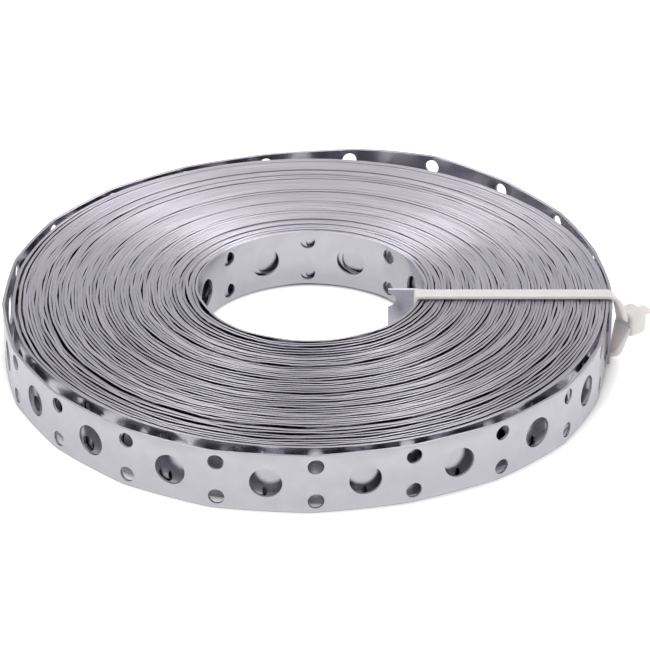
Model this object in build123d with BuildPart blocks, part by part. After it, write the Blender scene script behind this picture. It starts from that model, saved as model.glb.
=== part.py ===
# A roll of perforated steel mounting strap, wound flat on itself and held by one nylon cable tie.
# Millimetres. +Z is up, the roll's bore runs along Z, and the tie crosses the roll at its +X side.
# The origin is on the bore's axis, at the level of the surface that the roll lies on.
import os
from math import ceil, cos, radians, sin, sqrt

from build123d import *

os.makedirs("parts", exist_ok=True)

# The strap, as it is before it is wound: big holes on the middle line, and a pair between each two
strap_width = 20.0
strap_thickness = 0.8
big_hole_diameter = 10.0
small_hole_diameter = 5.0
small_hole_spacing = 12.0
pattern_pitch = 30.0

# The winding: its body is pressed a little off the bore's axis
bore_diameter = 72.7
wound_diameter = 194.0
wound_shift_x = -0.8
wound_shift_y = -2.6
turn_pitch = 1.03
turns_per_ridge = 9
ridge_depth = 1.0

# The loose last turn: angles along it from its free end, and how far its outer face stands out
# of the wound radius there
outer_turn = [
    (-10, 1.3),
    (0, 0.6),
    (10, 0.2),
    (23, 1.6),
    (38, 2.6),
    (50, 4.0),
    (62, 6.4),
    (74, 6.3),
    (88, 1.9),
    (104, -0.3),
    (120, -0.4),
    (140, 0.8),
    (160, 2.1),
    (182, 2.6),
    (206, 5.3),
    (228, 7.4),
    (252, 8.9),
    (270, 8.0),
    (290, 6.5),
    (312, 6.4),
    (326, 4.8),
    (338, 2.2),
    (349, 0.2),
    (364, -1.0),
]
outer_end_to_pair = 11.7
tight_run = 20.0

# The first turn's end, bent inwards across the bore and sheared through a pair of holes
tab_angle = -6.3
tab_length = 11.3

# The cable tie
tie_width = 4.8
tie_thickness = 1.2
tie_clearance = 0.15
tie_y = -7.9
tie_tight_bend_radius = 0.9
tie_slack_bend_radius = 2.4
tie_corner_room = 1.6
tie_head_gap = 4.9
tie_head_depth = 6.0
tie_head_width = 8.0
tie_head_height = 7.7
tie_head_lift = 6.9
tie_head_rounding = 0.9
tie_slot_lift = 12.9
tie_slot_clearance = 0.35
tie_root_lift = 8.3
tie_bend_room = 2.6
tie_pawl_length = 1.6
tie_tail_length = 3.0

# Heights: the tie runs under the roll, and the roll lies on it
roll_bottom = tie_thickness + tie_clearance
roll_top = roll_bottom + strap_width
roll_middle = roll_bottom + strap_width / 2
bore_radius = bore_diameter / 2
wound_radius = wound_diameter / 2


def point_at(angle, radius):
    """A point of the plan, from its angle about the bore's axis and its distance from it."""
    return (radius * cos(radians(angle)), radius * sin(radians(angle)))


def ridged_profile():
    """The winding's section: the turns stand out in ridges on both ends, a few turns to a ridge."""
    ridge_width = turns_per_ridge * turn_pitch
    slopes = ceil((wound_radius - bore_radius) / ridge_width + 1 / 2) * 2
    radii = [wound_radius - i / 2 * ridge_width for i in range(slopes + 1)]
    depths = [ridge_depth * (i % 2) for i in range(slopes + 1)]
    top = [(r, roll_top - d) for r, d in zip(radii, depths)]
    bottom = [(r, roll_bottom + d) for r, d in zip(radii, depths)]
    return top + bottom[::-1]


def sideways(points, amount):
    """A bent line of flats, moved outwards by this amount with every flat parallel to the old one."""
    flats = [(b - a).normalized() for a, b in zip(points, points[1:])]
    outwards = [Vector(f.Y, -f.X) for f in flats]
    before, after = outwards[:1] + outwards, outwards + outwards[-1:]
    return [p + (m + n) * (amount / (1 + m.dot(n))) for p, m, n in zip(points, before, after)]


def flat_planes(points):
    """A plane on the middle of each flat of a bent line, which faces away from the bore."""
    planes = []
    for a, b in zip(points, points[1:]):
        middle = (a + b) / 2
        along = (b - a).normalized()
        spot = (middle.X, middle.Y, roll_middle)
        planes.append(Plane(spot, x_dir=along, z_dir=along.cross(Vector(0, 0, 1))))
    return planes


# The wound strap bends between its holes, so each hole or pair has a flat of half a pitch
flat_length = pattern_pitch / 2

with BuildLine() as outer_guide:
    Spline(*[point_at(a, wound_radius + out - strap_thickness / 2) for a, out in outer_turn])
outer_line = outer_guide.edges()[0]
outer_folds = [outer_line @ 0]
fold = outer_end_to_pair - flat_length / 2
while fold < outer_line.length:
    outer_folds.append(outer_line.position_at(fold, position_mode=PositionMode.LENGTH))
    fold += flat_length

with BuildPart() as last_turn:
    # The last turn, which stands off the others at the front and at the back
    with BuildSketch(Plane.XY.offset(roll_bottom)):
        with BuildLine():
            outside = sideways(outer_folds, strap_thickness / 2)
            inside = sideways(outer_folds, -strap_thickness / 2)
            Polyline(*outside, *inside[::-1], close=True)
        make_face()
    extrude(amount=strap_width)

    # Its holes: a pair in the first whole flat, then a big one, and so on to where it is pressed tight
    last_punched = int((outer_line.length - tight_run) / flat_length)
    punched = flat_planes(outer_folds)[1 : last_punched + 1]
    for number, flat in enumerate(punched):
        with BuildSketch(flat.offset(-strap_thickness)):
            if number % 2 == 0:
                with GridLocations(0, small_hole_spacing, 1, 2):
                    Circle(small_hole_diameter / 2)
            else:
                Circle(big_hole_diameter / 2)
        extrude(amount=2 * strap_thickness, mode=Mode.SUBTRACT)

with BuildPart() as perforated_strap:
    # The wound turns, pressed tight: one turned body
    with BuildSketch(Plane((wound_shift_x, wound_shift_y, 0), x_dir=(1, 0, 0), z_dir=(0, -1, 0))):
        with BuildLine():
            Polyline(*ridged_profile(), close=True)
        make_face()
    revolve(axis=Axis((wound_shift_x, wound_shift_y, 0), (0, 0, 1)))

    # The bore, where the mandrel was
    with BuildSketch(Plane.XY):
        Circle(bore_radius)
    extrude(amount=roll_top + strap_width, mode=Mode.SUBTRACT)

    # The tab, and the half holes where it was sheared off
    bend_x, tab_y = point_at(tab_angle, bore_radius + strap_thickness / 2)
    with BuildSketch(Plane.XY.offset(roll_bottom)):
        with Locations((bend_x, tab_y)):
            Rectangle(tab_length, strap_thickness, align=(Align.MAX, Align.CENTER))
    extrude(amount=strap_width)
    with BuildSketch(Plane((bend_x - tab_length, tab_y, roll_middle), x_dir=(1, 0, 0), z_dir=(0, 1, 0))):
        with GridLocations(0, small_hole_spacing, 1, 2):
            Circle(small_hole_diameter / 2)
    extrude(amount=strap_thickness, both=True, mode=Mode.SUBTRACT)

    add(last_turn.part)

perforated_strap.part.label = "perforated_strap"


with BuildPart() as cable_tie:
    half = tie_thickness / 2
    tight, slack = tie_tight_bend_radius, tie_slack_bend_radius
    off = tie_clearance + half
    inner_x = sqrt(bore_radius**2 - (abs(tie_y) + tie_width / 2) ** 2) - off
    outer_x = outer_line.bounding_box().max.X + strap_thickness / 2
    head_x = outer_x + tie_head_gap
    slot_z = roll_bottom + tie_slot_lift
    tie_plane = Plane((0, tie_y, 0), x_dir=(1, 0, 0), z_dir=(0, -1, 0))

    # The head, with the slot that the strap's end was pulled through
    with BuildSketch(tie_plane):
        with Locations((head_x, roll_bottom + tie_head_lift)):
            Rectangle(tie_head_depth, tie_head_height, align=(Align.MIN, Align.MIN))
    extrude(amount=tie_head_width / 2, both=True)
    fillet(cable_tie.edges().filter_by(Axis.X), tie_head_rounding)
    with BuildSketch(Plane((head_x, tie_y, slot_z), x_dir=(0, 1, 0), z_dir=(1, 0, 0))):
        Rectangle(tie_width + 2 * tie_slot_clearance, tie_thickness + 2 * tie_slot_clearance)
    extrude(amount=tie_head_depth, mode=Mode.SUBTRACT)

    # The band: from the head down, under the roll, up through the bore, over the roll and out
    with BuildLine() as tie_path:
        FilletPolyline(
            (head_x + half, roll_bottom + tie_root_lift),
            (outer_x + tie_corner_room, roll_bottom - off),
            (inner_x, roll_bottom - off),
            (inner_x, roll_top + off),
            (outer_x + tie_corner_room, roll_top + off),
            (outer_x + tie_bend_room, slot_z),
            (head_x + tie_head_depth + tie_tail_length, slot_z),
            radius=(slack, tight, tight, slack, slack),
        )
    with BuildSketch(tie_plane):
        trace(tie_path.line, tie_thickness)
    extrude(amount=tie_width / 2, both=True)

    # The pawl, which holds the band in the slot
    with BuildSketch(tie_plane):
        with Locations((head_x + tie_head_depth / 2, slot_z - half)):
            Rectangle(tie_pawl_length, 2 * tie_slot_clearance)
    extrude(amount=tie_width / 2, both=True)

cable_tie.part.label = "cable_tie"

export_step(perforated_strap.part, "parts/perforated_strap.step")
export_step(cable_tie.part, "parts/cable_tie.step")
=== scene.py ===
from math import pi, radians

import bpy
import numpy as np
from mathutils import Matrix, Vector


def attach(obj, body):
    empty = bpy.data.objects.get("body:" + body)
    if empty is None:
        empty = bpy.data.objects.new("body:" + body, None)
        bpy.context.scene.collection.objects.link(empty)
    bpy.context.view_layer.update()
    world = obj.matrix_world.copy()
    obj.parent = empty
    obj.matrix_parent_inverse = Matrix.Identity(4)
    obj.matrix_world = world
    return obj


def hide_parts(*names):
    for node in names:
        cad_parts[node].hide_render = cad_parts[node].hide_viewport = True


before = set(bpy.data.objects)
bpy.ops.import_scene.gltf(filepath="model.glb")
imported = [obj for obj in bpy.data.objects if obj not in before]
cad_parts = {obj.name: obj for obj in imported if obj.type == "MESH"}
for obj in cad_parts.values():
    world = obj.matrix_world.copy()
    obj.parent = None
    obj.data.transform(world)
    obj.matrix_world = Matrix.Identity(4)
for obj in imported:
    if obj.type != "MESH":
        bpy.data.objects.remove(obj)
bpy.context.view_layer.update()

# The strap: 25 m of 20 mm x 0.8 mm hot-dip galvanised sheet, slit from a wide coil and punched
# with big holes on its middle line and a pair of small ones between each two. It is wound flat on
# itself from a sheared tab in the bore, clockwise and outwards, and its last turns stand off loose.
strap_width = 20.0
strap_thickness = 0.8
big_hole_radius = 5.0
small_hole_radius = 2.5
small_hole_spacing = 12.0
pattern_pitch = 30.0
half_flat = pattern_pitch / 4
roll_bottom = 1.35
bore_radius = 36.35
wound_radius = 97.0
turn_pitch = 1.03
turns = 59
loose_count = 3
free_end_angle = -10.0
free_end_to_pair = 10.4
second_turn_shift = 19.6
tab_angle = -6.3
tab_length = 11.3
tab_bend_radius = 1.3
# tight turns touch at their burrs
tight_gap = 0.1
# where two turns part for a while: the turn, counted from outside, over how many turns, and how much
long_gaps = [
    (24.30, 0.20, 6.0), (10.36, 0.22, 4.0), (29.30, 0.12, 2.0), (16.30, 0.12, 1.6), (5.80, 0.16, 3.2),
    (8.78, 0.14, 2.4), (13.76, 0.16, 2.4), (20.80, 0.12, 1.6), (33.75, 0.14, 1.6), (42.80, 0.12, 1.2),
]
# how far the flats of the turns swell the roll
flats_swell = 0.35

# The loose outer turns: angles along them from the free end, and the radius of the outer face there
loose_turns = [
    (-10, 98.3), (0, 97.6), (10, 97.2), (23, 98.6), (38, 99.6), (50, 101.0), (62, 103.4), (74, 103.3),
    (88, 98.9), (104, 96.7), (120, 96.6), (140, 97.8), (160, 99.1), (182, 99.6), (206, 102.3),
    (228, 104.4), (252, 105.9), (270, 105.0), (290, 103.5), (312, 103.4), (326, 101.8), (338, 99.2),
    (350, 97.1), (366, 95.4), (388, 93.9), (400, 92.9), (418, 92.0), (435, 91.7), (452, 91.4), (468, 91.9),
    (482, 92.9), (497, 94.0), (512, 94.9), (530, 95.9), (546, 96.8), (567, 98.5), (584, 99.2),
    (600, 100.1), (627, 100.6), (643, 100.4), (661, 99.8), (680, 98.7), (700, 96.6), (714, 95.4),
    (745, 92.9), (770, 91.4), (795, 90.8), (815, 90.6), (836, 91.6), (862, 93.2), (890, 94.2),
    (906, 94.8), (927, 97.0), (944, 98.0), (960, 99.0), (987, 99.5), (1003, 99.3), (1021, 98.6),
    (1040, 97.5), (1058, 95.6),
]
# The turns under them: angles round the roll, and about where the fourth turn's outer face is there
body_shape = [
    (-10, 94.2), (8, 93.2), (25, 91.8), (45, 90.4), (70, 89.8), (95, 89.6), (115, 90.4), (135, 91.6),
    (160, 92.4), (175, 92.8), (190, 93.4), (207, 95.4),
    (225, 97.0), (245, 98.2), (270, 98.5), (290, 98.1), (315, 96.9), (335, 95.5), (350, 94.6),
]


def through(knots, at):
    """A smooth line through the knots: a cubic between each two, with the slope of their neighbours."""
    x, y = np.array(knots, float).T
    slope = np.gradient(y, x)
    i = np.clip(np.searchsorted(x, at) - 1, 0, len(x) - 2)
    h = x[i + 1] - x[i]
    s = (at - x[i]) / h
    flat = (2 * s**3 - 3 * s**2 + 1) * y[i] + (3 * s**2 - 2 * s**3) * y[i + 1]
    return flat + h * ((s**3 - 2 * s**2 + s) * slope[i] + (s**3 - s**2) * slope[i + 1])


def wander(at, spacing, seed):
    """Smooth noise from -1 to 1: random values this far apart, with an eased line between them."""
    values = np.random.default_rng(seed).uniform(-1, 1, int(at.max() / spacing) + 3)
    i = (at / spacing).astype(int)
    s = at / spacing - i
    s = s * s * (3 - 2 * s)
    return values[i] * (1 - s) + values[i + 1] * s


# Every turn on one grid of angles, the outermost first. A turn's radius is the one under it plus the
# thickness and a gap, and the gaps at each angle are scaled so that the roll keeps its outline.
steps = 720
tightest_slack = 0.42
wandering_slack = 0.58
slack_turns = 0.7
slack_seed = 5
smoothing_waves = 9
angle = np.arange(turns * steps + int((tab_angle - free_end_angle) * steps / 360)) * 360 / steps
turn_number = angle / 360
nominal_length = np.cumsum(wound_radius - turn_pitch * turn_number) * radians(360 / steps)
slack = np.clip(wander(turn_number, slack_turns, slack_seed), 0, 1) ** 1.5
slack = tightest_slack + wandering_slack * slack
for turn, width, rise in long_gaps:
    slack += rise * np.exp(-(((turn_number - turn) / width) ** 2))
around = angle[:steps] + free_end_angle
by_turn = slack[: turns * steps].reshape(turns, steps)
tight_pitch = strap_thickness + tight_gap
room = through(body_shape, around) - flats_swell - bore_radius - (turns - loose_count) * tight_pitch
share = room / by_turn[loose_count:].sum(axis=0)
waves = np.fft.fftfreq(steps) * steps
share = np.real(np.fft.ifft(np.fft.fft(share) * np.exp(-((waves / smoothing_waves) ** 2))))
pitch = tight_pitch + by_turn * share
closing = pitch[-1, 0] * (1 - np.arange(steps) / steps)
radius = np.empty((turns, steps))
radius[-1] = bore_radius + strap_thickness + closing
radius[:-1] = radius[-1] + np.cumsum(pitch[:-1][::-1], axis=0)[::-1]
body_start = (loose_count * 360 + free_end_angle, radius[loose_count, 0])
outer = through(loose_turns + [body_start], angle[: loose_count * steps] + free_end_angle)
radius[:loose_count] = outer.reshape(loose_count, steps)

# Between two pairs of holes a turn stays a little flat, so that it stands out at the pairs and sinks
# between them, and what it rests on pushes it out again: gaps open and shut every 30 mm. The roll is
# pressed tight at the back, so the flats show least there.
flat_depth = 0.19
flat_depth_varies = 0.13
flat_depth_length = 43
flat_seed = 8
second_wave = 0.45
pressed_angle = 92
pressed_reach = 55
pressed_share = 0.93
pressed = np.exp(-((((angle + free_end_angle) % 360 - pressed_angle) / pressed_reach) ** 2))
flatness = flat_depth + flat_depth_varies * wander(nominal_length, flat_depth_length, flat_seed)
flatness = flatness * (1 - pressed_share * pressed)
along_flat = 2 * pi * (nominal_length - free_end_to_pair) / pattern_pitch
sway = flatness * (np.cos(along_flat) + second_wave * np.cos(2 * along_flat))
sway = sway[: turns * steps].reshape(turns, steps)
sway[:loose_count] = 0
radius += sway
for turn in range(turns - 2, -1, -1):
    radius[turn] = np.maximum(radius[turn], radius[turn + 1] + strap_thickness + tight_gap)
radius = np.append(radius.ravel(), np.full(len(angle) - turns * steps, bore_radius + strap_thickness))

# The strap's middle line in plan, with the tab's bend and the tab at its inner end
bearing = np.radians(angle + free_end_angle)
line = (radius - strap_thickness / 2)[:, None] * np.stack([np.cos(bearing), np.sin(bearing)], axis=1)


def flattened(line, folds, weight):
    """The line drawn towards the straight runs between its folds, by this share."""
    length = np.append(0, np.cumsum(np.linalg.norm(np.diff(line, axis=0), axis=1)))
    folds = np.concatenate([[0], folds, [length[-1]]])
    corners = np.stack([np.interp(folds, length, line[:, k]) for k in (0, 1)], axis=1)
    runs = np.stack([np.interp(length, folds, corners[:, k]) for k in (0, 1)], axis=1)
    return line + weight[:, None] * (runs - line)


# The loose turns bend at their pairs of holes, the more the further they stand off the next turn, and
# so does the innermost one
resting_gap = 0.4
free_gap = 1.5
outer_flatness = 0.55
inner_flatness = 0.17
inner_fade = 20
standing_off = np.append(radius[:-steps] - radius[steps:], np.ones(steps)) - strap_thickness - resting_gap
weight = np.where(angle < loose_count * 360, outer_flatness * np.clip(standing_off / free_gap, 0, 1), 0)
turn_length = np.linalg.norm(np.diff(line[: steps + 1], axis=0), axis=1).sum()
outer_pitches = 62
outer_pairs = free_end_to_pair + np.arange(outer_pitches) * pattern_pitch
outer_pairs += np.where(outer_pairs > turn_length, second_turn_shift, 0)
line = flattened(line, outer_pairs, weight)
inner_pitches = 16
rough_length = np.linalg.norm(np.diff(line, axis=0), axis=1).sum()
to_tab = tab_length - tab_bend_radius + tab_bend_radius * (pi / 2 - radians(tab_angle))
inner_folds = rough_length + to_tab - np.arange(inner_pitches - 1, 0, -1) * pattern_pitch
weight = inner_flatness * np.clip((angle - (turns - 1) * 360 + inner_fade) / inner_fade, 0, 1)
line = flattened(line, inner_folds[inner_folds < rough_length], weight)

bend_start = line[-1]
bend_heading = (line[-1] - line[-2]) / np.linalg.norm(line[-1] - line[-2])
bend_side = np.array([-bend_heading[1], bend_heading[0]])
turned = np.linspace(0, pi / 2 - radians(tab_angle), 12)[1:, None]
bend = bend_start + tab_bend_radius * (bend_heading * np.sin(turned) + bend_side * (1 - np.cos(turned)))
tab_run = np.linspace(0, tab_length - tab_bend_radius, 9)[1:, None] * np.array([-1.0, 0.0])
line = np.concatenate([line, bend, bend[-1] + tab_run])

length = np.append(0, np.cumsum(np.linalg.norm(np.diff(line, axis=0), axis=1)))
heading = np.gradient(line, axis=0)
heading /= np.linalg.norm(heading, axis=1)[:, None]
outwards = np.stack([heading[:, 1], -heading[:, 0]], axis=1)

# The turns stand a little proud of each other at the ends, in bundles of one or two turns, but hardly
# where the tie lies on them and little at the outermost turn
tie_angle = -5.0
tie_hold_angle = 14
tie_hold_start = 0.3
held_share = 0.2
bundle_turns = 1.5
bundle_seed = 12
bundle_sharpness = 2.2
bundle_step = 0.36
drift_length = 130
drift_seed = 11
drift = 0.10
most_proud = 0.4
sunk = 0.06
from_tie = np.abs((np.degrees(np.arctan2(line[:, 1], line[:, 0])) - tie_angle + 180) % 360 - 180)
clear_of_tie = np.clip(from_tie / tie_hold_angle - tie_hold_start, 0, 1)
wound = np.interp(np.arange(len(line)), [0, len(angle)], [0, turns])
bundles = np.tanh(bundle_sharpness * wander(wound, bundle_turns, bundle_seed))
inside_outermost = np.clip(wound / bundle_turns - 0.6, 0.15, 1)
proud = drift * wander(length, drift_length, drift_seed) + bundle_step * bundles * inside_outermost
proud = (np.clip(proud, -most_proud, most_proud) - sunk) * (held_share + (1 - held_share) * clear_of_tie)
strap_length = length[-1]

# A patch of skin carries its place on the section, so that no two surfaces share a streak or a grain
inner_face_mark = 100
top_edge_mark = 40
lower_edge_mark = 50
hole_wall_mark = 60
end_mark = 70
skin = []


def add_skin(along, up, out, across, slit=False, flip=False, loop=False):
    """Adds patches of the strap's skin, from grids (patches, rows, columns) of length, height and depth.

    Its plan is the middle line's point at that length, moved out along the line's normal. A face joins
    each two neighbours in a row to the two in the next row. across is the place on the section.
    """
    along, up, out, across = np.broadcast_arrays(along, up, out, across)
    patches, rows, columns = along.shape
    spot = []
    for k in (0, 1):
        spot.append(np.interp(along, length, line[:, k]) + out * np.interp(along, length, outwards[:, k]))
    spot.append(roll_bottom + up + np.interp(along, length, proud))
    number = np.arange(along.size).reshape(along.shape)
    after = np.roll(number, -1, axis=2) if loop else number[:, :, 1:]
    here = number if loop else number[:, :, :-1]
    quad = [here[:, :-1], after[:, :-1], after[:, 1:], here[:, 1:]]
    quad = np.stack(quad[::-1] if flip else quad, axis=-1).reshape(-1, 4)
    marks = np.stack([along, across], axis=-1).reshape(-1, 2)
    skin.append((np.stack(spot, axis=-1).reshape(-1, 3), quad, marks, np.full(len(quad), slit)))


# A slit edge's section, from the outer face to the inner one: the slitting rolls leave a burr on the
# outer side and round the inner side over. Places across the thickness, and depths below the top.
edge_out = np.array([0.40, 0.49, 0.25, -0.05, -0.40])
edge_drop = np.array([0.15, 0.01, 0.0, 0.03, 0.15])
edge_depth = 0.15


def add_edges(along):
    """The two slit edges over these lengths: each point of the section carried along the strap."""
    out = edge_out[None, :, None]
    drop = edge_drop[None, :, None]
    add_skin(along[:, None], strap_width - drop, out, top_edge_mark - out, slit=True)
    add_skin(along[:, None], drop, out, lower_edge_mark - out, slit=True, flip=True)


def add_plain(start, end, step):
    """A stretch of strap with no holes that show: two faces and two edges."""
    along = np.linspace(start, end, max(int((end - start) / step), 1) + 1)[None, :]
    up = np.array([edge_depth, strap_width - edge_depth])[None, :, None]
    add_skin(along[:, None], up, strap_thickness / 2, up)
    add_skin(along[:, None], up, -strap_thickness / 2, up + inner_face_mark, flip=True)
    add_edges(along)


# how many faces a cell has along the strap, and a whole height of it up its side
base_faces = 8
side_faces = 8
# from the hole's circle out to the cell's sides: where the rings between the faces lie
ring_places = np.array([0, 0.35, 1])[:, None]


def add_pierced(middles, holes, columns=slice(None)):
    """Cells of half a pitch, each with its holes: rings of faces from each circle out to the cell's sides.

    A hole is (height, radius, cell's foot, cell's head, faces up its sides). The sides and the circle
    have as many points, so a ring is a straight blend from one to the other.
    """
    for height, hole, foot, head, rise in holes:
        side = np.linspace(0, 1, rise, endpoint=False)
        base = np.linspace(0, 1, base_faces, endpoint=False)
        wide = np.concatenate([side * 0 + 1, 1 - 2 * base, side * 0 - 1, 2 * base - 1]) * half_flat
        tall = np.concatenate([side, base * 0 + 1, 1 - side, base * 0]) * (head - foot) + foot
        around = np.arange(len(wide)) / len(wide) * 2 * pi - pi * rise / len(wide)
        along = hole * np.cos(around) * (1 - ring_places) + wide * ring_places
        up = (height + hole * np.sin(around)) * (1 - ring_places) + tall * ring_places
        whole = columns == slice(None)
        along, up = along[:, columns], up[:, columns]
        along = middles[:, None, None] + along[None]
        out = strap_thickness / 2
        add_skin(along, up[None], out, up[None], flip=True, loop=whole)
        add_skin(along, up[None], -out, up[None] + inner_face_mark, loop=whole)
        depth = np.array([-out, out])[None, :, None]
        wall_mark = hole_wall_mark + depth
        add_skin(along[:, :1], up[None, :1], depth, wall_mark, slit=True, flip=True, loop=whole)


foot = edge_depth
head = strap_width - edge_depth
middle = strap_width / 2
small_low = middle - small_hole_spacing / 2
small_high = middle + small_hole_spacing / 2
big = [(middle, big_hole_radius, foot, head, side_faces)]
pair = [
    (small_low, small_hole_radius, foot, middle, side_faces // 2),
    (small_high, small_hole_radius, middle, head, side_faces // 2),
]
inner_pairs = strap_length - np.arange(1, inner_pitches) * pattern_pitch
for pairs in (outer_pairs, inner_pairs):
    for middles, holes in ((pairs, pair), (pairs + pattern_pitch / 2, big)):
        add_pierced(middles, holes)
        add_edges(middles[:, None] + np.linspace(-half_flat, half_flat, base_faces + 1))
# the stretches between them: the free end, the shift at the second turn, and the turns in the middle of
# the roll, whose holes can't be seen
end_step = 1.0
shift_step = 2.0
middle_step = 4.1
plain_start = outer_pairs[-1] + 3 * half_flat
plain_end = inner_pairs[-1] - half_flat
add_plain(0, free_end_to_pair - half_flat, end_step)
shifted = np.argmax(np.diff(outer_pairs) > pattern_pitch + 1)
add_plain(outer_pairs[shifted] + 3 * half_flat, outer_pairs[shifted + 1] - half_flat, shift_step)
add_plain(plain_start, plain_end, middle_step)

# The tab's end, sheared through a pair of holes
sheared = np.array([strap_length])
half_base = base_faces // 2
for hole in pair:
    rise = hole[-1]
    add_pierced(sheared, [hole], slice(rise + half_base, 2 * rise + 3 * half_base + 1))
add_edges(strap_length + np.linspace(-half_flat, 0, half_base + 1)[None, :])


def add_end(at, up, out, flip):
    """A patch of the strap's end at this length, from rows of heights and places across the thickness."""
    up, out = np.broadcast_arrays(np.array(up)[None], np.array(out)[None])
    add_skin(np.full((1, 1, 1), at), up, out, end_mark + out, slit=True, flip=flip)


sheet = strap_thickness / 2 * np.array([[-1.0, 0.0, 1.0]])
burr_out = np.array([sheet[0], edge_out[3:0:-1]])
burr_drop = np.array([[edge_depth] * 3, edge_drop[3:0:-1]])
# the sheared end's metal: below, between and above its two half holes
webs = [
    (foot, small_low - small_hole_radius),
    (small_low + small_hole_radius, small_high - small_hole_radius),
    (small_high + small_hole_radius, head),
]
for at, stretches, flip in ((0.0, [(foot, head)], False), (strap_length, webs, True)):
    for low, high in stretches:
        add_end(at, [[low], [high]], sheet, flip)
    add_end(at, strap_width - burr_drop, burr_out, flip)
    add_end(at, burr_drop[::-1], burr_out[::-1], flip)


def strap_mesh(name):
    """One mesh of all patches, in metres, with its corners welded where patches meet."""
    spots, quads, marks, slits = zip(*skin)
    offsets = np.cumsum([0] + [len(s) for s in spots[:-1]])
    quads = np.concatenate([q + o for q, o in zip(quads, offsets)])
    spots = np.concatenate(spots)
    marks = np.concatenate(marks)
    slits = np.concatenate(slits)
    _, first, weld = np.unique(np.round(spots, 4), axis=0, return_index=True, return_inverse=True)
    mesh = bpy.data.meshes.new(name)
    mesh.from_pydata((spots[first] / 1000).tolist(), [], weld.reshape(-1)[quads].tolist())
    uv = mesh.uv_layers.new(name="along_strap")
    uv.data.foreach_set("uv", (marks[quads.reshape(-1)] / 1000).astype(np.float32).ravel())
    mesh.polygons.foreach_set("material_index", slits.astype(np.int32))
    mesh.polygons.foreach_set("use_smooth", np.ones(len(quads), dtype=bool))
    mesh.set_sharp_from_angle(angle=radians(35))
    mesh.update()
    return mesh


def colour(hex_code):
    """A hex sRGB colour as the linear values that a shader takes."""
    channels = [int(hex_code[i : i + 2], 16) / 255 for i in (1, 3, 5)]
    return [c / 12.92 if c <= 0.04045 else ((c + 0.055) / 1.055) ** 2.4 for c in channels] + [1.0]


def add_node(tree, kind, settings=None, links=None):
    """A shader node with its settings (a property or an input) and the sockets linked to its inputs."""
    node = tree.nodes.new(kind)
    for key, value in (settings or {}).items():
        if isinstance(key, str) and hasattr(node, key):
            setattr(node, key, value)
        else:
            node.inputs[key].default_value = value
    for key, socket in (links or {}).items():
        tree.links.new(socket, node.inputs[key])
    return node


def new_material(name):
    """An empty node material, with its output node."""
    material = bpy.data.materials.new(name)
    material.use_nodes = True
    tree = material.node_tree
    tree.nodes.clear()
    return material, tree, tree.nodes.new("ShaderNodeOutputMaterial")


# Hot-dip zinc skin-passed between rolls: an even, pale satin with a faint bloom where the grains were
zinc, tree, output = new_material("galvanised_sheet")
place = add_node(tree, "ShaderNodeUVMap", {"uv_map": "along_strap"})
# grains of about 6 mm, pressed nearly flat
bloom = add_node(tree, "ShaderNodeTexNoise", {"Scale": 170.0, "Detail": 3.0}, {"Vector": place.outputs[0]})
tone = add_node(tree, "ShaderNodeValToRGB", None, {"Fac": bloom.outputs["Fac"]})
tone.color_ramp.elements[0].position = 0.3
tone.color_ramp.elements[1].position = 0.7
tone.color_ramp.elements[0].color = colour("#CAC9D0")
tone.color_ramp.elements[1].color = colour("#D1D0D7")
# roller lines along the strap, 0.25 mm apart and 20 mm long
stretch = add_node(tree, "ShaderNodeMapping", {"Scale": (50.0, 4000.0, 1.0)}, {"Vector": place.outputs[0]})
rolled = add_node(tree, "ShaderNodeTexNoise", {"Scale": 1.0, "Detail": 2.0}, {"Vector": stretch.outputs[0]})
lines = rolled.outputs["Fac"]
rough = add_node(tree, "ShaderNodeMapRange", {"To Min": 0.16, "To Max": 0.26}, {"Value": lines})
bump = add_node(tree, "ShaderNodeBump", {"Strength": 0.15, "Distance": 0.00005}, {"Height": lines})
shader = add_node(
    tree,
    "ShaderNodeBsdfPrincipled",
    {"Metallic": 1.0},
    {"Base Color": tone.outputs["Color"], "Roughness": rough.outputs[0], "Normal": bump.outputs[0]},
)
tree.links.new(shader.outputs[0], output.inputs["Surface"])

# The slit edges: sheared steel with zinc wiped over it, duller, darker and streaked along the cut
slit_steel, tree, output = new_material("slit_steel_edge")
place = add_node(tree, "ShaderNodeUVMap", {"uv_map": "along_strap"})
# streaks of 40 mm along a cut 0.8 mm wide, so neighbouring turns differ
stretch = add_node(tree, "ShaderNodeMapping", {"Scale": (25.0, 2500.0, 1.0)}, {"Vector": place.outputs[0]})
streak = add_node(
    tree,
    "ShaderNodeTexNoise",
    {"Scale": 1.0, "Detail": 4.0, "Roughness": 0.6},
    {"Vector": stretch.outputs[0]},
)
lines = streak.outputs["Fac"]
tone = add_node(tree, "ShaderNodeValToRGB", None, {"Fac": lines})
tone.color_ramp.elements[0].position = 0.3
tone.color_ramp.elements[1].position = 0.7
tone.color_ramp.elements[0].color = colour("#93909A")
tone.color_ramp.elements[1].color = colour("#C2BFC8")
rough = add_node(tree, "ShaderNodeMapRange", {"To Min": 0.30, "To Max": 0.42}, {"Value": lines})
bump = add_node(tree, "ShaderNodeBump", {"Strength": 0.35, "Distance": 0.00008}, {"Height": lines})
# the cut's streaks run along the strap, so a highlight spreads across it and stays short along it
along_cut = add_node(tree, "ShaderNodeTangent", {"direction_type": "UV_MAP", "uv_map": "along_strap"})
shader = add_node(
    tree,
    "ShaderNodeBsdfPrincipled",
    {"Metallic": 1.0, "Anisotropic": 0.85, "Anisotropic Rotation": 0.25},
    {
        "Base Color": tone.outputs["Color"],
        "Roughness": rough.outputs[0],
        "Normal": bump.outputs[0],
        "Tangent": along_cut.outputs[0],
    },
)
tree.links.new(shader.outputs[0], output.inputs["Surface"])

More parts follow.
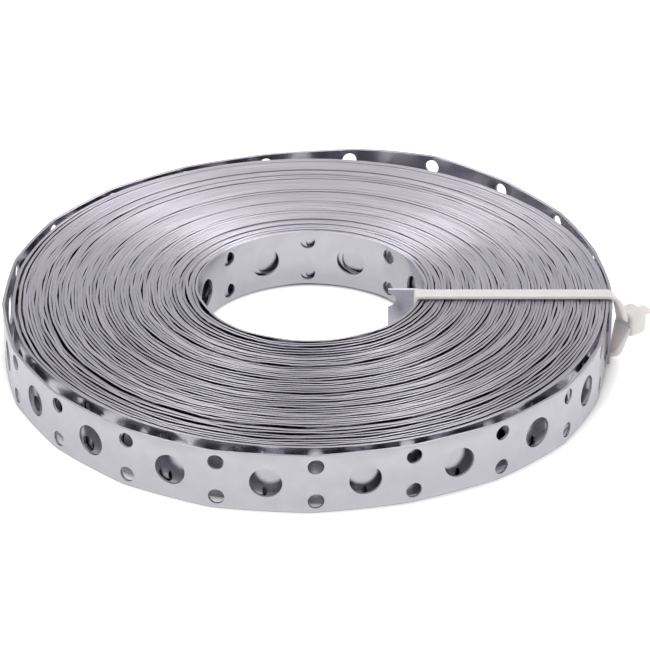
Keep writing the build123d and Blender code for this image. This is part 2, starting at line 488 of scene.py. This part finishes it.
wound_strap = bpy.data.objects.new("wound_strap", strap_mesh("wound_strap"))
bpy.context.scene.collection.objects.link(wound_strap)
wound_strap.data.materials.append(zinc)
wound_strap.data.materials.append(slit_steel)
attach(wound_strap, "root")
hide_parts("perforated_strap")


# The cable tie: one moulding of natural nylon 6.6, a toothed band whose end was pulled through the
# head, where a pawl holds it, and then cut off. It holds all the turns together at one side.
tie_width = 4.8
tie_thickness = 1.2
tie_y = -7.9
tooth_pitch = 1.0
tooth_depth = 0.14
edge_rounding = 0.3
toothed_length = 60.0
tooth_half_width = 1.9
head_start = 100.7
head_depth = 6.6
slot_height = 14.25
tail_end = 111.4
root_flare = 0.55
root_length = 12.0
# the head has turned on the band, away from the front
head_yaw = 38.0
yaw_start = 96.2
# the band's middle line, from the head's underside round the roll and out through the head: each corner's
# distance from the bore's axis and height, and how far from it the easing starts
tie_route = [
    ((100.9, 12.3), 0.0),
    ((98.2, 0.6), 2.8),
    ((34.11, 0.6), 0.75),
    ((34.11, 22.1), 0.75),
    ((98.3, 22.1), 1.3),
    ((100.2, slot_height), 1.2),
    ((tail_end, slot_height), 0.0),
]


def rounded(route):
    """A route of runs whose corners are eased: each corner's trim is blended from run to run.

    Within a corner the point is the corner minus the way in times (1-s)^2 plus the way out times s^2.
    """
    spots = np.array([spot for spot, _ in route])
    pieces = [spots[:1]]
    ease = np.linspace(0, 1, 9)[:, None]
    for before, here, after, trim in zip(spots, spots[1:], spots[2:], [t for _, t in route[1:]]):
        way_in = (here - before) / np.linalg.norm(here - before) * trim
        way_out = (after - here) / np.linalg.norm(after - here) * trim
        pieces.append(here - way_in * (1 - ease) ** 2 + way_out * ease**2)
    return np.concatenate(pieces + [spots[-1:]])


def new_piece(name, spots, faces, material):
    """A smooth-shaded object of these corners, given in millimetres, and these faces."""
    mesh = bpy.data.meshes.new(name)
    mesh.from_pydata((np.asarray(spots) / 1000).tolist(), [], [list(map(int, face)) for face in faces])
    mesh.polygons.foreach_set("use_smooth", np.ones(len(mesh.polygons), dtype=bool))
    mesh.set_sharp_from_angle(angle=radians(40))
    mesh.materials.append(material)
    piece = bpy.data.objects.new(name, mesh)
    bpy.context.scene.collection.objects.link(piece)
    return piece


def grid_quads(rows, columns):
    """Faces of a grid of rings, each closed on itself."""
    number = np.arange(rows * columns).reshape(rows, columns)
    after = np.roll(number, -1, axis=1)
    return np.stack([number[:-1], after[:-1], after[1:], number[1:]], axis=-1).reshape(-1, 4)


def rounded_box(wide, tall, rounding, points=4):
    """The outline of a rectangle with rounded corners, centred, in the order in which angles grow."""
    turn = np.linspace(0, pi / 2, points)
    corner = rounding * np.stack([np.cos(turn), np.sin(turn)], axis=1)
    inner = np.array([wide / 2 - rounding, tall / 2 - rounding])
    swap = corner[::-1]
    return np.concatenate([
        inner + corner,
        inner * [-1, 1] + swap * [-1, 1],
        -inner - corner,
        inner * [1, -1] + swap * [1, -1],
    ])


def yawed(spots):
    """The spots turned about the upright line through the head's middle, by a part that grows outwards.

    The part is 3 s^2 - 2 s^3, where s runs from 0 at the roll's side to 1 at the head.
    """
    s = np.clip((spots[:, 0] - yaw_start) / (head_start - yaw_start), 0, 1)
    turn = radians(head_yaw) * (3 * s**2 - 2 * s**3)
    axis = np.array([head_start + head_depth / 2, tie_y])
    x, y = (spots[:, :2] - axis).T
    turned = np.stack([x * np.cos(turn) - y * np.sin(turn), x * np.sin(turn) + y * np.cos(turn)], axis=1)
    return np.concatenate([axis + turned, spots[:, 2:]], axis=1)


# natural nylon 6.6: milky white, a little light goes through it, with a soft moulded gloss
nylon, tree, output = new_material("natural_nylon")
place = add_node(tree, "ShaderNodeTexCoord")
# moulding flow marks of about 3 mm
flow = add_node(
    tree,
    "ShaderNodeTexNoise",
    {"Scale": 330.0, "Detail": 2.0},
    {"Vector": place.outputs["Object"]},
)
marks = flow.outputs["Fac"]
tone = add_node(tree, "ShaderNodeValToRGB", None, {"Fac": marks})
tone.color_ramp.elements[0].color = colour("#E0DBDA")
tone.color_ramp.elements[1].color = colour("#EAE5E3")
bump = add_node(tree, "ShaderNodeBump", {"Strength": 0.2, "Distance": 0.0001}, {"Height": marks})
shader = add_node(
    tree,
    "ShaderNodeBsdfPrincipled",
    {
        "Roughness": 0.42,
        "IOR": 1.53,
        "Subsurface Weight": 0.6,
        "Subsurface Radius": (0.0030, 0.0024, 0.0020),
        "Subsurface Scale": 1.0,
    },
    {"Base Color": tone.outputs["Color"], "Normal": bump.outputs[0]},
)
tree.links.new(shader.outputs[0], output.inputs["Surface"])

# The band, in the plane across the roll: a rounded rectangle carried along its route, toothed inside
route = rounded(tie_route)
run = np.append(0, np.cumsum(np.linalg.norm(np.diff(route, axis=0), axis=1)))
toothed_from = run[-1] - toothed_length
stations = np.unique(np.concatenate([run, np.arange(toothed_from, run[-1], tooth_pitch / 2)]))
route = np.stack([np.interp(stations, run, route[:, k]) for k in (0, 1)], axis=1)
way = np.gradient(route, axis=0)
way /= np.linalg.norm(way, axis=1)[:, None]
outer_side = np.stack([way[:, 1], -way[:, 0]], axis=1)
outline = rounded_box(tie_width, tie_thickness, edge_rounding)
teeth = (np.round((stations - toothed_from) / tooth_pitch * 2) % 2) * (stations > toothed_from) * tooth_depth
toothed = (outline[:, 1] < 0) * (np.abs(outline[:, 0]) < tooth_half_width)
thick = outline[None, :, 1] + teeth[:, None] * toothed[None, :]
# the band widens into the head at its root
flare = 1 + root_flare * np.clip(1 - stations / root_length, 0, 1)
band = np.stack(
    [
        route[:, None, 0] + outer_side[:, None, 0] * thick,
        tie_y + outline[None, :, 0] * flare[:, None],
        route[:, None, 1] + outer_side[:, None, 1] * thick,
    ],
    axis=-1,
)
columns = len(outline)
rings = len(stations)
band_spots = yawed(band.reshape(-1, 3))
faces = grid_quads(rings, columns).tolist()
faces += [list(range(columns))[::-1], list(range((rings - 1) * columns, rings * columns))]
band_piece = new_piece("tie_band", band_spots, faces, nylon)

# The head, moulded in one with the band: a nylon block with soft corners, turned a little on the band,
# with a slot right through it, where the band's cut end came out
head_width = 8.6
head_height = 8.6
head_foot = 8.3
head_rounding = 2.2
end_rounding = 1.3
slot_room = 0.35
slot_rounding = 0.3
corner_points = 6
ends = np.array([0.0, 0.12, 0.45, 1.0])
depth = np.concatenate([ends, head_depth - ends[::-1]])
rounded_in = end_rounding * (1 - np.sqrt(1 - (1 - ends) ** 2))
draw_in = np.concatenate([rounded_in, rounded_in[::-1]])
head_middle = head_foot + head_height / 2


def head_ring(x, outline, height):
    """The outline stood up across the head, this deep in it, with its middle at this height."""
    across = np.full(len(outline), head_start + x)
    return np.stack([across, tie_y + outline[:, 0], height + outline[:, 1]], axis=1)


shell = []
for x, less in zip(depth, draw_in):
    outline = rounded_box(head_width - 2 * less, head_height - 2 * less, head_rounding, corner_points)
    shell.append(head_ring(x, outline, head_middle))
slot_outline = rounded_box(
    tie_width + 2 * slot_room,
    tie_thickness + 2 * slot_room,
    slot_rounding,
    corner_points,
)
slot_rings = [head_ring(x, slot_outline, slot_height) for x in (head_depth, head_depth / 2, 0.0)]
head_rings = shell + slot_rings + shell[:1]
head_spots = yawed(np.concatenate(head_rings))
head_piece = new_piece("tie_head", head_spots, grid_quads(len(head_rings), len(slot_outline)), nylon)

for piece in (band_piece, head_piece):
    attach(piece, "root")
    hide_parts("cable_tie")

# The studio floor: white paper that the camera sees as white, with a soft shadow on it, partly cast by the
# lamps and partly painted by taking the paper's glow away round the roll. The roll lies on the tie's
# underside at one side. At the other the paper is 0.5 mm under it, clear of its lowest edges.
floor_reach = 3000
floor_clearance = 0.5
low_side = 97
roll_span = 196
floor_lift = roll_bottom - floor_clearance
paper_corners = []
for x, y in ((-1, -1), (1, -1), (1, 1), (-1, 1)):
    height = (low_side - x * floor_reach) * floor_lift / roll_span
    paper_corners.append((x * floor_reach, y * floor_reach, height))
# white paper, with a glow of its own that is stronger for the camera, so that it shows plain white
sweep, tree, output = new_material("white_sweep")
ray = add_node(tree, "ShaderNodeLightPath")
glow = add_node(
    tree,
    "ShaderNodeMath",
    {"operation": "MULTIPLY_ADD", 1: 0.35, 2: 0.33},
    {0: ray.outputs["Is Camera Ray"]},
)
# painted shadow: no light gets under the roll, so the glow is taken away there. It is off from 38.5 to 96 mm
# from the bore's axis, fading in to full at 36.5 mm and at 104 mm, which darkens the paper round the roll's
# foot; by the distance from the bore's axis, in metres
place = add_node(tree, "ShaderNodeTexCoord")
reach = add_node(tree, "ShaderNodeVectorMath", {"operation": "LENGTH"}, {0: place.outputs["Object"]})
from_axis = reach.outputs["Value"]
outside = add_node(tree, "ShaderNodeMapRange", {"From Min": 0.096, "From Max": 0.104}, {"Value": from_axis})
inside = add_node(tree, "ShaderNodeMapRange", {"From Min": 0.0385, "From Max": 0.0365}, {"Value": from_axis})
# 1 where the paper keeps its glow, 0 where the painted shadow is
clear_of_painted_shadow = add_node(
    tree,
    "ShaderNodeMath",
    {"operation": "MAXIMUM"},
    {0: outside.outputs[0], 1: inside.outputs[0]},
)
glow = add_node(tree, "ShaderNodeMath", {"operation": "MULTIPLY"}, {0: glow.outputs[0], 1: clear_of_painted_shadow.outputs[0]})
paper = add_node(tree, "ShaderNodeBsdfDiffuse", {"Color": colour("#E6E6E6")})
lit = add_node(tree, "ShaderNodeEmission", {"Color": colour("#FFFFFF")}, {"Strength": glow.outputs[0]})
both = add_node(tree, "ShaderNodeAddShader", None, {0: paper.outputs[0], 1: lit.outputs[0]})
tree.links.new(both.outputs[0], output.inputs["Surface"])
floor = new_piece("studio_floor", paper_corners, [(0, 1, 2, 3)], sweep)

# The light tent round the table: its walls are dimmer than its top, as the metal shows them, but the
# nylon shows that more light comes from the sides than from above
world = bpy.data.worlds.new("white_studio")
bpy.context.scene.world = world
world.use_nodes = True
tree = world.node_tree
tree.nodes.clear()
output = tree.nodes.new("ShaderNodeOutputWorld")
ray = add_node(tree, "ShaderNodeLightPath")
seen = add_node(
    tree,
    "ShaderNodeMath",
    {"operation": "ADD", "use_clamp": True},
    {0: ray.outputs["Is Camera Ray"], 1: ray.outputs["Is Glossy Ray"]},
)
seen = add_node(
    tree,
    "ShaderNodeMath",
    {"operation": "ADD", "use_clamp": True},
    {0: seen.outputs[0], 1: ray.outputs["Is Transmission Ray"]},
)
place = add_node(tree, "ShaderNodeTexCoord")
height = add_node(tree, "ShaderNodeSeparateXYZ", None, {"Vector": place.outputs["Generated"]})
tent = add_node(
    tree,
    "ShaderNodeMapRange",
    {"From Min": 0.1, "From Max": 0.85, "To Min": 0.76, "To Max": 1.0},
    {"Value": height.outputs["Z"]},
)
tent = add_node(
    tree,
    "ShaderNodeMath",
    {"operation": "MAXIMUM"},
    {0: tent.outputs[0], 1: ray.outputs["Is Camera Ray"]},
)
sides = add_node(tree, "ShaderNodeMapRange", {"To Min": 1.25, "To Max": 0.55}, {"Value": height.outputs["Z"]})
shown = add_node(tree, "ShaderNodeMath", {"operation": "SUBTRACT"}, {0: tent.outputs[0], 1: sides.outputs[0]})
strength = add_node(
    tree,
    "ShaderNodeMath",
    {"operation": "MULTIPLY_ADD"},
    {0: shown.outputs[0], 1: seen.outputs[0], 2: sides.outputs[0]},
)
sky = add_node(tree, "ShaderNodeBackground", {"Color": colour("#FFFFFF")}, {"Strength": strength.outputs[0]})
tree.links.new(sky.outputs[0], output.inputs["Surface"])


def add_lamp(name, place, target, size, watts):
    """A square soft box of this size in metres that faces its target, and that the camera can't see."""
    data = bpy.data.lights.new(name, "AREA")
    data.shape = "SQUARE"
    data.size = size
    data.energy = watts
    lamp = bpy.data.objects.new(name, data)
    lamp.location = place
    lamp.rotation_euler = (Vector(target) - Vector(place)).to_track_quat("-Z", "Y").to_euler()
    lamp.visible_camera = False
    bpy.context.scene.collection.objects.link(lamp)


# one big box over the table, and two small ones near the back of the roll, which brighten its edges there
add_lamp("softbox_over", (0.0, -0.3, 1.6), (0, 0, 0), 1.2, 1.5)
add_lamp("panel_back_left", (-0.065, 0.210, 0.270), (-0.028, 0.04, 0.02), 0.07, 0.11)
add_lamp("panel_back_right", (0.060, 0.200, 0.280), (0.030, 0.04, 0.02), 0.07, 0.13)

# The camera: a long lens, looking down on the roll at 30 degrees from the front
camera_above = 29.63
camera_data = bpy.data.cameras.new("camera")
camera_data.lens = 169.4
camera_data.sensor_width = 36.0
camera_data.clip_start = 0.05
camera_data.clip_end = 20.0
camera = bpy.data.objects.new("camera", camera_data)
camera.location = (0.0047, -0.87207, 0.50221)
camera.rotation_euler = (radians(90 - camera_above), 0, 0)
bpy.context.scene.collection.objects.link(camera)
bpy.context.scene.camera = camera
bpy.context.scene.view_settings.view_transform = "Standard"
